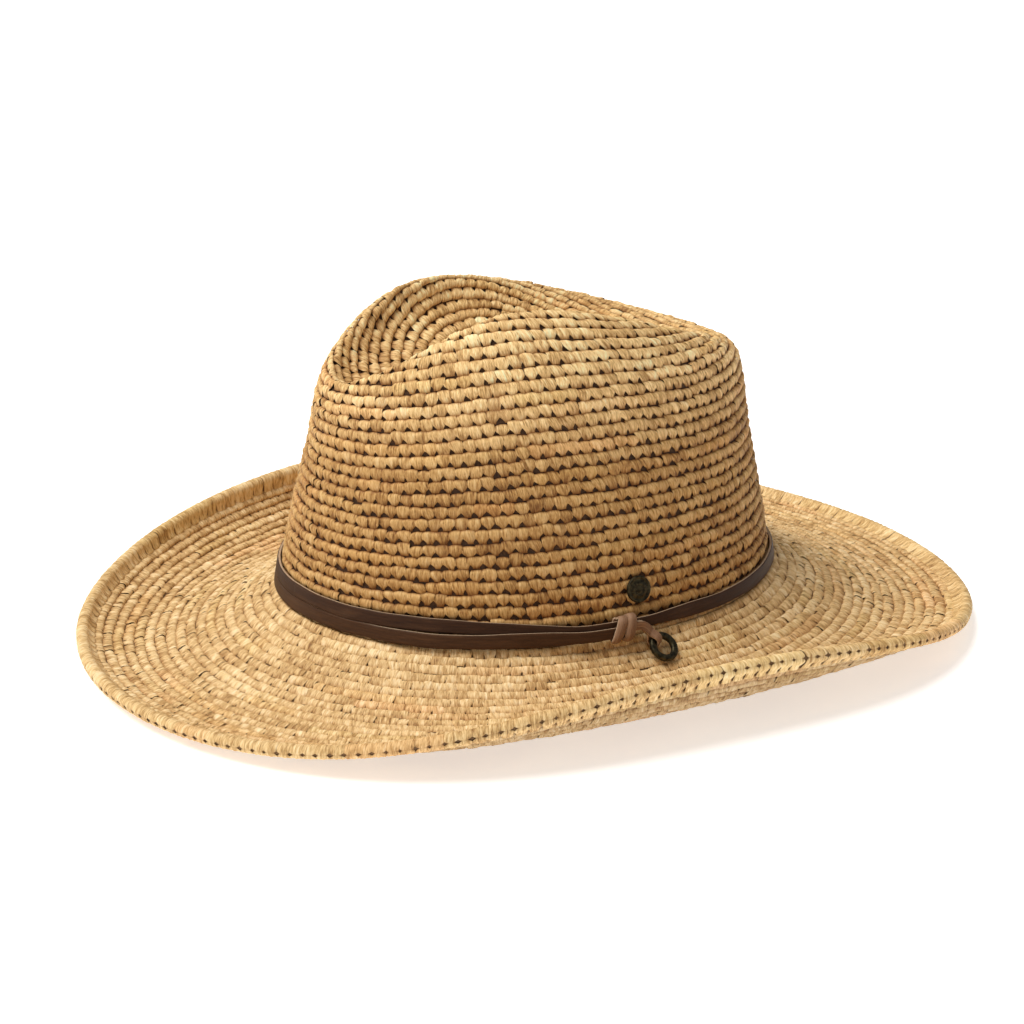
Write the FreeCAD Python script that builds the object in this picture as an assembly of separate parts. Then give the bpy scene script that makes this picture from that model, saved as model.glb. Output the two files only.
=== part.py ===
import FreeCAD, Part
import math
import os

from FreeCAD import Vector

# A crocheted raffia cowboy hat with a leather lace band. Millimetres.
# The hat stands on its brim: +Z up, -Y the front, +X the wearer's left.
# Shapes are worked out about the crown's centre, on the plane where crown and brim
# meet, and moved to the origin below the middle of the whole hat at the end.

# ---- driving dimensions ----
CROWN_BASE_HEIGHT = 24.5      # the crown and brim meet this far above the ground
CROWN_CENTRE_Y = -0.5         # the crown's centre, from the middle of the whole hat
CROWN_HALF_WIDTH = 86.5
CROWN_HALF_LENGTH = 104.0
CROCHET_THICKNESS = 2.4
FIT_GAP = 0.1                 # between pieces that butt within one body
MOVING_GAP = 0.35             # between pieces that move past each other

# Values at five stations: front, front quarter, side, back quarter, back.
RIDGE_HEIGHT = (87.0, 103.0, 114.0, 102.0, 85.0)
RIDGE_SCALE = (0.63, 0.55, 0.56, 0.79, 1.05)
RIDGE_ROUNDING = (0.05, 0.075, 0.12, 0.10, 0.06)
WALL_PINCH = (0.067, 0.055, 0.01, 0.0, 0.0)
DENT_SCALE = (0.45, 0.36, 0.34, 0.40, 0.46)
DENT_HEIGHT = (84.0, 92.0, 98.0, 96.0, 86.0)
LEFT_RIDGE_RISE = 3.8         # the left ridge stands this much above the mean
TOP_FORWARD = 23.5            # the ridge oval is shifted this far to the front
TIP_HEIGHT = 80.5             # the deepest point of the dent, where crochet starts
TIP_FORWARD = 8.0
TIP_HOLE_SCALE = 0.03         # the first round closes to a hole of this scale

BRIM_WIDTH = (87.0, 83.5, 77.0, 86.0, 86.0)
BRIM_INNER_SLOPE = (-33.0, -36.0, -50.0, -36.0, -27.0)    # degrees, where it leaves the crown
BRIM_MIDDLE_SLOPE = (-14.0, -9.0, 5.0, -8.0, -15.0)       # half way out
BRIM_EDGE_SLOPE = (25.0, 45.0, 84.0, 28.0, 6.0)           # at the rolled edge
BRIM_TWIST = -2.5             # left and right curls differ a little from hand shaping
BRIM_START = -1.5             # middle of the brim's thickness where it leaves the crown
BRIM_STEPS = 40

BINDING_RADIUS = 2.8          # the folded last round
BINDING_BORE = 1.05
BINDING_SLOT = math.radians(52)   # half the angle left open towards the brim
WIRE_RADIUS = 0.6
WIRE_FACES = 20
SLEEVE_RADIUS = 0.95
SLEEVE_BORE = 0.65
SLEEVE_LENGTH = 18.0

LACE_WIDTH = 5.0
LACE_THICKNESS = 1.5
LACE_LOW = 2.9                # middle of the lower turn above the crown's base
LACE_HIGH = 8.1               # middle of the upper turn
LACE_AT_KNOT = 4.4            # middle of the upper turn where it enters the knot
KNOT_ANGLE = math.radians(85.6)
KNOT_LIFT = 1.75              # how far the lace stands off to let the knot go behind it
LACE_END_ANGLE = math.radians(-100)

LACE_WIDTH_AT_KNOT = 4.0      # the knot squeezes the lace
KNOT_HEIGHT = 4.3             # the knot's middle above the crown's base
WRAP_WIDTH = 3.7
WRAP_SLANT = 2.0              # how far a wrap's top leans to the back
TAIL_WIDTH = 3.2
TAIL_THICKNESS = 2.2          # two layers of lace
TAIL_ROOT_RADIUS = 1.6
RING_RADIUS = 4.8             # centre line of the ring's round bar
RING_BAR = 1.35
RING_ANGLE = math.radians(93)
RING_DISTANCE = 8.9           # out along the brim
RING_LIFT = 2.75              # ring's centre above the brim's top face
RING_TILT = math.radians(9)   # its eye side stands up on the lace below
EYE_BORE = 1.95
EYE_WALL = 0.8

BADGE_ANGLE = math.radians(91.8)
BADGE_ROW_HEIGHT = 16.0
BADGE_RADIUS = 5.3
BADGE_THICKNESS = 1.6
POST_RADIUS = 1.3
BACKPLATE_RADIUS = 4.5
BACKPLATE_THICKNESS = 0.7

SWEATBAND_STANDOFF = 1.5
SWEATBAND_THICKNESS = 1.0
SWEATBAND_BOTTOM = -1.6
SWEATBAND_TOP = 30.0
STITCH_COUNT = 60
STITCH_RADIUS = 0.4
STITCH_HEIGHT = 2.0
LABEL_LENGTH = 22.0
LABEL_HEIGHT = 12.0
LABEL_THICKNESS = 0.5

ANGLES = [2 * math.pi * i / 48 for i in range(48)]


# ---- the hat's surfaces ----
def around(angle, stations):
    """A smooth value at an angle from the front, through the five stations."""
    total = 0.0
    for wave in range(5):
        half = 0.5 if wave in (0, 4) else 1.0
        share = 0.25 * (stations[0] + stations[4] * math.cos(math.pi * wave))
        for j in (1, 2, 3):
            share += 0.5 * stations[j] * math.cos(math.pi * wave * j / 4)
        total += half * share * math.cos(wave * angle)
    return total


def blend_weights(count, t):
    """Clamped uniform cubic B-spline weights of `count` control rings at t in 0..1."""
    inner = [i / (count - 3) for i in range(count - 2)]
    knots = [0.0] * 3 + inner + [1.0] * 3
    t = min(max(t, 0.0), 1.0 - 1e-9)
    weights = [1.0 if knots[i] <= t < knots[i + 1] else 0.0 for i in range(count + 3)]
    for degree in (1, 2, 3):
        raised = []
        for i in range(count + 3 - degree):
            value = 0.0
            low = knots[i + degree] - knots[i]
            high = knots[i + degree + 1] - knots[i + 1]
            if low > 0:
                value += (t - knots[i]) / low * weights[i]
            if high > 0:
                value += (knots[i + degree + 1] - t) / high * weights[i + 1]
            raised.append(value)
        weights = raised
    return weights


def crown_rings(angle):
    """(scale of the base oval, forward shift, height) of each control ring."""
    height = around(angle, RIDGE_HEIGHT) + LEFT_RIDGE_RISE * math.sin(angle)
    scale = around(angle, RIDGE_SCALE)
    pinch = around(angle, WALL_PINCH)
    dent_scale = around(angle, DENT_SCALE)
    dent_height = around(angle, DENT_HEIGHT)
    rounding = around(angle, RIDGE_ROUNDING)
    return (
        (1.0, 0.0, 0.0),
        (1 - 0.22 * (1 - scale), 0.2 * TOP_FORWARD, 0.33 * height),
        (1 - 0.45 * (1 - scale) - pinch, 0.5 * TOP_FORWARD, 0.68 * height),
        (scale + 0.07 - 0.4 * pinch, 0.9 * TOP_FORWARD, 0.97 * height),
        (scale - rounding, TOP_FORWARD, height + 7),
        (dent_scale + 0.10, TOP_FORWARD, 0.45 * height + 0.55 * dent_height),
        (dent_scale - 0.08, TOP_FORWARD, dent_height - 4),
        (0.12, TIP_FORWARD, TIP_HEIGHT),
        (TIP_HOLE_SCALE, TIP_FORWARD, TIP_HEIGHT),
    )


def crown_point(angle, t):
    """A point on the crown's outer face, t from 0 at its base to 1 at its tip."""
    rings = crown_rings(angle)
    x = y = z = 0.0
    for weight, (scale, forward, height) in zip(blend_weights(len(rings), t), rings):
        x += weight * scale * CROWN_HALF_WIDTH * math.sin(angle)
        y += weight * (-scale * CROWN_HALF_LENGTH * math.cos(angle) - forward)
        z += weight * height
    return Vector(x, y, z)


def base_normal(angle):
    """The base oval's outward direction."""
    n = Vector(math.sin(angle) / CROWN_HALF_WIDTH, -math.cos(angle) / CROWN_HALF_LENGTH, 0)
    return n.normalize()


def crown_normal(angle, t):
    """The crown's outward normal."""
    step = 1e-3
    low, high = max(t - step, 0.0), min(t + step, 1.0)
    up = crown_point(angle, high) - crown_point(angle, low)
    along = crown_point(angle + step, t) - crown_point(angle - step, t)
    return along.cross(up).normalize()


def crown_at(angle, t, depth=0.0):
    """A point `depth` below the crown's outer face."""
    return crown_point(angle, t) - crown_normal(angle, t) * depth


def crown_t_at(angle, height):
    """The t at which the wall reaches a height."""
    low, high = 0.0, 0.5
    for _ in range(40):
        middle = (low + high) / 2
        if crown_point(angle, middle).z < height:
            low = middle
        else:
            high = middle
    return low


def wall_at(angle, height, outward):
    """A point beside the crown's wall at a height, `outward` from its face."""
    if height <= 0:
        return crown_point(angle, 0) + base_normal(angle) * outward + Vector(0, 0, height)
    t = crown_t_at(angle, height)
    normal = crown_normal(angle, t)
    flat = Vector(normal.x, normal.y, 0).normalize()
    return crown_point(angle, t) + flat * (outward / math.cos(math.asin(normal.z)))


def brim_slope(angle, share):
    """The brim's slope at a share of its width, by three slopes across it."""
    edge = around(angle, BRIM_EDGE_SLOPE) + BRIM_TWIST * math.sin(2 * angle)
    slope = around(angle, BRIM_INNER_SLOPE) * (1 - share) * (1 - 2 * share)
    slope += around(angle, BRIM_MIDDLE_SLOPE) * 4 * share * (1 - share)
    slope += edge * share * (2 * share - 1)
    return math.radians(slope)


def brim_at(angle, distance):
    """The brim's middle point, its upward normal and its way out, along its cloth."""
    width = around(angle, BRIM_WIDTH)
    step = distance / BRIM_STEPS
    run, rise = 0.0, BRIM_START
    for i in range(BRIM_STEPS):
        slope = brim_slope(angle, (i + 0.5) * step / width)
        run += step * math.cos(slope)
        rise += step * math.sin(slope)
    slope = brim_slope(angle, distance / width)
    out = base_normal(angle)
    up = Vector(0, 0, 1)
    point = crown_point(angle, 0) + out * run + up * rise
    normal = up * math.cos(slope) - out * math.sin(slope)
    tangent = out * math.cos(slope) + up * math.sin(slope)
    return point, normal, tangent


# ---- solids from sections ----
def spacing(points):
    """Parameters in 0..1 by the distance between the points of a closed loop."""
    marks = [0.0]
    for a, b in zip(points, points[1:] + points[:1]):
        marks.append(marks[-1] + a.distanceToPoint(b))
    return [m / marks[-1] for m in marks]


def spline(points, marks, closed):
    """A cubic spline through points at the given parameters."""
    curve = Part.BSplineCurve()
    curve.interpolate(Points=points, PeriodicFlag=closed, Parameters=marks)
    return curve


def skin(sections, closed):
    """A spline surface through matching closed sections."""
    across = spacing(sections[len(sections) // 4])
    count = len(sections)
    steps = count if closed else count - 1
    along = [i / steps for i in range(steps + 1)]
    curves = [spline(section, across, True) for section in sections]
    rows = [curve.getPoles() for curve in curves]
    columns = [spline([row[j] for row in rows], along, closed) for j in range(len(rows[0]))]
    surface = Part.BSplineSurface()
    surface.buildFromPolesMultsKnots(
        [column.getPoles() for column in columns],
        curves[0].getMultiplicities(), columns[0].getMultiplicities(),
        curves[0].getKnots(), columns[0].getKnots(), True, closed, 3, 3)
    return surface


def outward(solid):
    """The solid with its faces turned outward."""
    if solid.Volume < 0:
        solid.reverse()
    return solid


def ring_solid(sections):
    """A closed ring through matching closed sections: one face, with no ends."""
    return outward(Part.makeSolid(Part.makeShell([skin(sections, True).toShape()])))


def strip_solid(sections, splits=1):
    """A strip with two flat ends, its side in one or more faces round the section."""
    surface = skin(sections, False)
    low, high, start, end = surface.bounds()
    marks = [low + (high - low) * i / splits for i in range(splits + 1)]
    spans = list(zip(marks, marks[1:]))
    faces = [surface.toShape(a, b, start, end) for a, b in spans]
    for place in (start, end):
        edge = surface.vIso(place)
        faces.append(Part.Face(Part.Wire([edge.toShape(a, b) for a, b in spans])))
    shell = Part.makeShell(faces)
    shell.sewShape()
    return outward(Part.makeSolid(shell))


def sheet_section(outer, inner):
    """A closed section from a row of points on each face, with rounded ends."""
    def end(a, b, beyond):
        middle = (a + b) * 0.5
        radius = a.distanceToPoint(b) / 2
        push = (beyond * -1).normalize() * radius
        side = a - middle
        return [middle + side * math.cos(q) - push * math.sin(q)
                for q in (math.pi * 0.25, math.pi * 0.5, math.pi * 0.75)]

    first = end(inner[0], outer[0], outer[0] - outer[1])
    last = end(outer[-1], inner[-1], outer[-1] - outer[-2])
    return list(outer) + last + list(reversed(inner)) + first


def flat_section(centre, wide, thick, width, thickness, count=16):
    """A rounded flat section about a centre, across two directions."""
    points = []
    for i in range(count):
        q = 2 * math.pi * i / count
        c, s = math.cos(q), math.sin(q)
        a = math.copysign(abs(c) ** 0.45, c) * width / 2
        b = math.copysign(abs(s) ** 0.45, s) * thickness / 2
        points.append(centre + wide * a + thick * b)
    return points


def round_section(centre, one, other, radius, count=20):
    """A circle of points about a centre."""
    turns = [2 * math.pi * i / count for i in range(count)]
    return [centre + one * (radius * math.cos(q)) + other * (radius * math.sin(q)) for q in turns]


# ---- crochet ----
def crown_shell():
    """The crown, one sheet from the base round to the first round at its tip."""
    marks = [0.0, 0.0022] + [(i / 34) ** 1.5 for i in range(1, 35)]
    sections = []
    for angle in ANGLES:
        drop = Vector(0, 0, BRIM_START - CROCHET_THICKNESS / 2)
        foot = crown_point(angle, 0) + drop
        outer = [foot] + [crown_at(angle, t) for t in marks]
        inset = base_normal(angle) * CROCHET_THICKNESS
        inner = [foot - inset] + [crown_at(angle, t, CROCHET_THICKNESS) for t in marks]
        sections.append(sheet_section(outer, inner))
    return ring_solid(sections)


def brim_panel():
    """The brim from the crown's wall to the folded edge."""
    sections = []
    half = CROCHET_THICKNESS / 2
    for angle in ANGLES:
        start = (half + FIT_GAP) / math.cos(brim_slope(angle, 0))
        end = around(angle, BRIM_WIDTH) - BINDING_RADIUS - BINDING_BORE - 0.25 - half
        stops = [start + (end - start) * i / 14 for i in range(15)]
        top, bottom = [], []
        for stop in stops:
            point, normal, _ = brim_at(angle, stop)
            top.append(point + normal * half)
            bottom.append(point - normal * half)
        sections.append(sheet_section(top, bottom))
    return ring_solid(sections)


def edge_frame(angle):
    """The centre of the folded edge, its direction out and its upward normal."""
    point, normal, tangent = brim_at(angle, around(angle, BRIM_WIDTH) - BINDING_RADIUS)
    return point, tangent, normal


def brim_edge_binding():
    """The last round, folded down over the wire: a C section open to the brim."""
    sections = []
    for angle in ANGLES:
        centre, out, up = edge_frame(angle)
        first, last = -math.pi + BINDING_SLOT, math.pi - BINDING_SLOT
        turns = [first + (last - first) * i / 14 for i in range(15)]
        outer = [centre + out * (BINDING_RADIUS * math.cos(q)) + up * (BINDING_RADIUS * math.sin(q))
                 for q in turns]
        inner = [centre + out * (BINDING_BORE * math.cos(q)) + up * (BINDING_BORE * math.sin(q))
                 for q in turns]
        sections.append(outer + list(reversed(inner)))
    return ring_solid(sections)


def edge_tube(start, end, radius, steps, splits=1):
    """A round bar along the folded edge from one angle to another."""
    sections = []
    for i in range(steps + 1):
        centre, out, up = edge_frame(start + (end - start) * i / steps)
        sections.append(round_section(centre, out, up, radius))
    return strip_solid(sections, splits)


def brim_wire():
    """The shaping wire, its two ends meeting at the back with a small gap."""
    gap = 0.3 / CROWN_HALF_LENGTH
    return edge_tube(math.pi + gap, 3 * math.pi - gap, WIRE_RADIUS, 64, WIRE_FACES)


def brim_wire_sleeve():
    """The crimp tube over the wire's ends."""
    reach = SLEEVE_LENGTH / 2 / (CROWN_HALF_WIDTH + BRIM_WIDTH[4])
    start, end = math.pi - reach, math.pi + reach
    outside = edge_tube(start, end, SLEEVE_RADIUS, 6)
    extra = 0.05 * reach
    return outside.cut(edge_tube(start - extra, end + extra, SLEEVE_BORE, 6))


# ---- leather lace ----
def ease(value, low, high):
    """0 below low, 1 above high, smooth between."""
    share = min(max((value - low) / (high - low), 0.0), 1.0)
    return share * share * (3 - 2 * share)


def from_knot(angle):
    """The angle from the knot, -180 to 180 degrees, positive to the back."""
    return (math.degrees(angle - KNOT_ANGLE) + 180) % 360 - 180


def lace_standoff(angle):
    """The gap between the crown and the inside of the lace."""
    return MOVING_GAP + KNOT_LIFT * (1 - ease(abs(from_knot(angle)), 7, 20))


def upper_height(angle):
    """Middle of the full turn: high at the front, low at the knot and the back."""
    turn = from_knot(angle)
    if turn < 0:
        into_knot = ease(turn, -42, -8)
        return LACE_HIGH + (LACE_AT_KNOT - LACE_HIGH) * into_knot
    leave_knot = LACE_AT_KNOT + (LACE_LOW - LACE_AT_KNOT) * ease(turn, 8, 34)
    return leave_knot + (LACE_HIGH - LACE_LOW) * ease(turn, 110, 165)


def lace_section(angle, height, standoff):
    """The lace's cross-section at an angle, flat against the crown's wall."""
    squeeze = 1 - ease(abs(from_knot(angle)), 6, 18)
    width = LACE_WIDTH + (LACE_WIDTH_AT_KNOT - LACE_WIDTH) * squeeze
    low = wall_at(angle, height - width / 2, standoff + LACE_THICKNESS / 2)
    high = wall_at(angle, height + width / 2, standoff + LACE_THICKNESS / 2)
    wide = (high - low).normalize()
    thick = base_normal(angle)
    thick = (thick - wide * thick.dot(wide)).normalize()
    return flat_section((low + high) * 0.5, wide, thick, width, LACE_THICKNESS)


def band_upper_strap():
    """The lace's full turn, through the knot."""
    angles = [2 * math.pi * i / 90 for i in range(90)]
    return ring_solid([lace_section(a, upper_height(a), lace_standoff(a)) for a in angles])


def band_lower_strap():
    """The lace's half turn below, from the right side round the front to the knot."""
    end = KNOT_ANGLE + math.radians(0.1)
    sections = []
    for i in range(61):
        angle = LACE_END_ANGLE + (end - LACE_END_ANGLE) * i / 60
        over = (LACE_THICKNESS + 0.25) * ease(from_knot(angle), -64, -42)
        sections.append(lace_section(angle, LACE_LOW, lace_standoff(angle) + over))
    return strip_solid(sections)


def knot_frame():
    """A point on the wall behind the knot, and the ways out, along the lace and up."""
    t = crown_t_at(KNOT_ANGLE, KNOT_HEIGHT)
    normal = crown_normal(KNOT_ANGLE, t)
    along = Vector(0, 0, 1).cross(normal).normalize()
    return crown_point(KNOT_ANGLE, t), normal, along, normal.cross(along)


def knot_point(outward, along, up):
    """A point by its distance from the wall, along the lace to the back, and up."""
    origin, out_way, along_way, up_way = knot_frame()
    return origin + out_way * outward + along_way * along + up_way * up


def knot_wrap(shift):
    """One slanted turn of lace round both layers, without the passage."""
    outline = ((0.45, 3.9), (6.2, 3.9), (7.2, 2.8), (7.2, -5.7), (6.0, -6.7), (2.2, -5.7), (0.45, -3.9))
    ends = []
    for side in (-0.5, 0.5):
        points = [knot_point(out, shift + side * WRAP_WIDTH + WRAP_SLANT * up / 5, up)
                  for out, up in outline]
        ends.append(Part.makePolygon(points + points[:1]))
    return outward(Part.makeLoft(ends, True, True))


def band_knot():
    """Two slanted wraps with one passage for both layers of lace."""
    body = knot_wrap(-0.48 * WRAP_WIDTH).fuse(knot_wrap(0.48 * WRAP_WIDTH)).removeSplitter()
    inside = MOVING_GAP + KNOT_LIFT - 0.4
    between = inside + LACE_THICKNESS + 0.5
    outside = inside + 2 * LACE_THICKNESS + 1.05
    corners = ((inside, -2.8), (between, -4.7), (outside, -4.7), (outside, 0.0),
               (between, 1.85), (inside, 1.85))
    ends = []
    for along in (-3 * WRAP_WIDTH, 3 * WRAP_WIDTH):
        points = [knot_point(out, along, up) for out, up in corners]
        ends.append(Part.makePolygon(points + points[:1]))
    return body.cut(outward(Part.makeLoft(ends, True, True))).removeSplitter()


def ring_frame():
    """The ring's centre, the way to its eye, the hinge direction there and its normal."""
    point, up, down = brim_at(RING_ANGLE, RING_DISTANCE)
    centre = point + up * (CROCHET_THICKNESS / 2 + RING_LIFT)
    along = up.cross(down).normalize()
    flat_way = (down * -0.8 - along * 0.6).normalize()
    way = flat_way * math.cos(RING_TILT) + up * math.sin(RING_TILT)
    normal = up * math.cos(RING_TILT) - flat_way * math.sin(RING_TILT)
    return centre, way, normal.cross(way).normalize(), normal


def tail_ring():
    """The metal ring that hangs in the end of the lace."""
    centre, _, _, normal = ring_frame()
    return Part.makeTorus(RING_RADIUS, RING_BAR, centre, normal)


def eye_centre():
    """The hinge point of the ring, just inside the middle of its bar."""
    centre, way, _, _ = ring_frame()
    return centre + way * (RING_RADIUS - 0.1)


def tail_root():
    """The hinge point of the tail beside the knot."""
    return knot_point(5.4, WRAP_WIDTH + TAIL_ROOT_RADIUS + 0.15, -0.8)


def band_tail():
    """The end of the lace, led from the knot and folded round the ring's bar."""
    _, _, hinge, ring_normal = ring_frame()
    out_way = base_normal(KNOT_ANGLE)
    eye, root = eye_centre(), tail_root()
    corner = root + knot_frame()[2] * 3.6
    sections = []
    for i in range(9):
        share = i / 8
        place = root * (1 - share) ** 2 + corner * (2 * share * (1 - share)) + eye * share ** 2
        along = ((corner - root) * (1 - share) + (eye - corner) * share).normalize()
        thick = out_way * (1 - share) + ring_normal * share
        thick = (thick - along * thick.dot(along)).normalize()
        sections.append(flat_section(place, along.cross(thick), thick, TAIL_WIDTH, TAIL_THICKNESS))
    body = strip_solid(sections)
    half = TAIL_THICKNESS / 2
    back = root - out_way * half
    round_root = Part.makeCylinder(TAIL_ROOT_RADIUS, TAIL_THICKNESS, back, out_way)
    half = TAIL_WIDTH / 2
    loop = Part.makeCylinder(EYE_BORE + EYE_WALL, TAIL_WIDTH, eye - hinge * half, hinge)
    bore = Part.makeCylinder(EYE_BORE, 3 * TAIL_WIDTH, eye - hinge * (3 * half), hinge)
    return body.fuse([round_root, loop]).cut(bore).removeSplitter()


# ---- badge ----
def badge_frame():
    """The badge's place on the crown's outer face and its normal."""
    t = crown_t_at(BADGE_ANGLE, BADGE_ROW_HEIGHT)
    normal = crown_normal(BADGE_ANGLE, t)
    return crown_point(BADGE_ANGLE, t), normal


def badge_cap():
    """A low dome with a raised rim, solid with its face to the crochet."""
    point, normal = badge_frame()
    seat = 0.3
    profile = Part.makePolygon([
        Vector(0, 0, seat), Vector(BADGE_RADIUS - 0.4, 0, seat),
        Vector(BADGE_RADIUS, 0, seat + 0.4), Vector(BADGE_RADIUS - 0.2, 0, seat + 1.2),
        Vector(BADGE_RADIUS - 0.9, 0, seat + 1.4), Vector(BADGE_RADIUS - 1.5, 0, seat + 1.0),
        Vector(BADGE_RADIUS - 3.0, 0, seat + BADGE_THICKNESS - 0.2),
        Vector(0, 0, seat + BADGE_THICKNESS), Vector(0, 0, seat)])
    cap = Part.Face(profile).revolve(Vector(0, 0, 0), Vector(0, 0, 1), 360)
    cap.Placement = FreeCAD.Placement(point, FreeCAD.Rotation(Vector(0, 0, 1), normal))
    return cap


def badge_post():
    """The rivet post through the crochet, peened over the backplate."""
    point, normal = badge_frame()
    top = point + normal * 0.3
    bottom = CROCHET_THICKNESS + 2 * 0.15 + BACKPLATE_THICKNESS
    post = Part.makeCylinder(POST_RADIUS, bottom + 0.3, top - normal * (bottom + 0.3), normal)
    head = Part.makeCylinder(POST_RADIUS + 0.5, 0.3, point - normal * (bottom + 0.3), normal)
    return post.fuse(head).removeSplitter()


def badge_backplate():
    """The washer inside the crown."""
    point, normal = badge_frame()
    base = point - normal * (CROCHET_THICKNESS + 0.15 + BACKPLATE_THICKNESS)
    plate = Part.makeCylinder(BACKPLATE_RADIUS, BACKPLATE_THICKNESS, base, normal)
    hole = Part.makeCylinder(POST_RADIUS + 0.02, 3, base - normal, normal)
    return plate.cut(hole)


def post_hole():
    """The hole between stitches that the post goes through."""
    point, normal = badge_frame()
    return Part.makeCylinder(POST_RADIUS + 0.05, 12, point - normal * 6, normal)


# ---- inside the crown ----
def inside_wall(angle, height, inward):
    """A point inside the crown, `inward` from the crochet's inner face."""
    return wall_at(angle, height, -CROCHET_THICKNESS - inward)


def sweatband():
    """The cloth band inside the opening."""
    heights = [SWEATBAND_BOTTOM + (SWEATBAND_TOP - SWEATBAND_BOTTOM) * i / 6 for i in range(7)]
    sections = []
    for angle in ANGLES:
        outer = [inside_wall(angle, h, SWEATBAND_STANDOFF) for h in heights]
        inner = [inside_wall(angle, h, SWEATBAND_STANDOFF + SWEATBAND_THICKNESS) for h in heights]
        sections.append(sheet_section(outer, inner))
    return ring_solid(sections)


def sweatband_stitching():
    """Thread ties between the crochet and the band, one group of solids."""
    ties = []
    for i in range(STITCH_COUNT):
        angle = 2 * math.pi * i / STITCH_COUNT
        start = inside_wall(angle, STITCH_HEIGHT, FIT_GAP)
        length = SWEATBAND_STANDOFF - 2 * FIT_GAP
        ties.append(Part.makeCylinder(STITCH_RADIUS, length, start, base_normal(angle) * -1))
    return Part.makeCompound(ties)


def curved_tab(half_length, low, high, thickness, lift):
    """A thin tab that follows the band's inner face at the back."""
    sections = []
    for i in range(9):
        angle = math.pi + half_length / CROWN_HALF_WIDTH * (i / 4 - 1)
        inward = SWEATBAND_STANDOFF + SWEATBAND_THICKNESS + lift + thickness / 2
        a = inside_wall(angle, low, inward)
        b = inside_wall(angle, high, inward)
        wide = (b - a).normalize()
        thick = base_normal(angle)
        thick = (thick - wide * thick.dot(wide)).normalize()
        sections.append(flat_section((a + b) * 0.5, wide, thick, high - low, thickness))
    return strip_solid(sections)


def size_label():
    """A blank woven tab at the back."""
    return curved_tab(LABEL_LENGTH / 2, 8.0, 8.0 + LABEL_HEIGHT, LABEL_THICKNESS, 0.12)


def label_stitches():
    """Bar tacks along the label's top and bottom, one group of solids."""
    bars = []
    lift = 0.12 + LABEL_THICKNESS + 0.05
    for low in (8.6, 8.0 + LABEL_HEIGHT - 1.1):
        bars.append(curved_tab(LABEL_LENGTH / 2 - 2, low, low + 0.5, 0.35, lift))
    return Part.makeCompound(bars)


# ---- the parts ----
def main():
    parts = {
        "crown_shell": crown_shell().cut(post_hole()),
        "brim_panel": brim_panel(),
        "brim_edge_binding": brim_edge_binding(),
        "brim_wire": brim_wire(),
        "brim_wire_sleeve": brim_wire_sleeve(),
        "sweatband": sweatband(),
        "sweatband_stitching": sweatband_stitching(),
        "size_label": size_label(),
        "label_stitches": label_stitches(),
        "band_upper_strap": band_upper_strap(),
        "band_lower_strap": band_lower_strap(),
        "band_knot": band_knot(),
        "band_tail": band_tail(),
        "tail_ring": tail_ring(),
        "badge_cap": badge_cap(),
        "badge_post": badge_post(),
        "badge_backplate": badge_backplate(),
    }
    os.makedirs("parts", exist_ok=True)
    for name, shape in parts.items():
        shape.translate(Vector(0, CROWN_CENTRE_Y, CROWN_BASE_HEIGHT))
        shape.exportStep("parts/" + name + ".step")
        box = shape.BoundBox
        print(name, len(shape.Solids), shape.isValid(), round(shape.Volume, 1),
              [round(v, 2) for v in (box.XMin, box.XMax, box.YMin, box.YMax, box.ZMin, box.ZMax)])


main()
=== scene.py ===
import math

import bmesh
import bpy
import numpy as np
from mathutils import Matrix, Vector


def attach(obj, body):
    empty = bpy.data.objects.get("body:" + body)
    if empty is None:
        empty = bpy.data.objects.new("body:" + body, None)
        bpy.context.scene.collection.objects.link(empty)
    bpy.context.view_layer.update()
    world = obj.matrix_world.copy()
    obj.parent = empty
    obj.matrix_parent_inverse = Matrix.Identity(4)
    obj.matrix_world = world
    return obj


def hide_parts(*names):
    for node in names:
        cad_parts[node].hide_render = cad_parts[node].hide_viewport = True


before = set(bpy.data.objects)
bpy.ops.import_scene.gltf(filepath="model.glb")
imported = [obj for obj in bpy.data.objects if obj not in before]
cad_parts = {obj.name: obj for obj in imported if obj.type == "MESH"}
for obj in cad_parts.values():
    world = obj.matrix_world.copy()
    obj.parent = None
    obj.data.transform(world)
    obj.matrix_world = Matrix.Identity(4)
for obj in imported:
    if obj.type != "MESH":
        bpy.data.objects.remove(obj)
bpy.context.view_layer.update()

# A crocheted raffia cowboy hat. Millimetres about the crown's centre, on the plane where
# crown and brim meet; `build` moves every point to the row frame in metres.
TAU = 2 * math.pi
ORIGIN = np.array((0.0, -0.5, 24.5))
rng = np.random.default_rng(7)

# ---- the hat's surfaces, from the same values as the CAD ----
# a set of five values runs from the hat's front to its back, alike on both sides
HALF_WIDTH, HALF_LENGTH = 86.5, 104.0
THICKNESS = 2.4
RIDGE_HEIGHT = (87.0, 103.0, 114.0, 102.0, 85.0)
RIDGE_SCALE = (0.63, 0.55, 0.56, 0.79, 1.05)
RIDGE_ROUNDING = (0.05, 0.075, 0.12, 0.10, 0.06)
WALL_PINCH = (0.067, 0.055, 0.01, 0.0, 0.0)
DENT_SCALE = (0.45, 0.36, 0.34, 0.40, 0.46)
DENT_HEIGHT = (84.0, 92.0, 98.0, 96.0, 86.0)
LEFT_RIDGE_RISE = 3.8
TOP_FORWARD, TIP_HEIGHT, TIP_FORWARD, TIP_HOLE = 23.5, 80.5, 8.0, 0.03
BRIM_WIDTH = (87.0, 83.5, 77.0, 86.0, 86.0)
BRIM_INNER = (-33.0, -36.0, -50.0, -36.0, -27.0)
BRIM_MIDDLE = (-14.0, -9.0, 5.0, -8.0, -15.0)
BRIM_EDGE = (25.0, 45.0, 84.0, 28.0, 6.0)
BRIM_TWIST, BRIM_START = -2.5, -1.5
BINDING_RADIUS = 2.8

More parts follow.
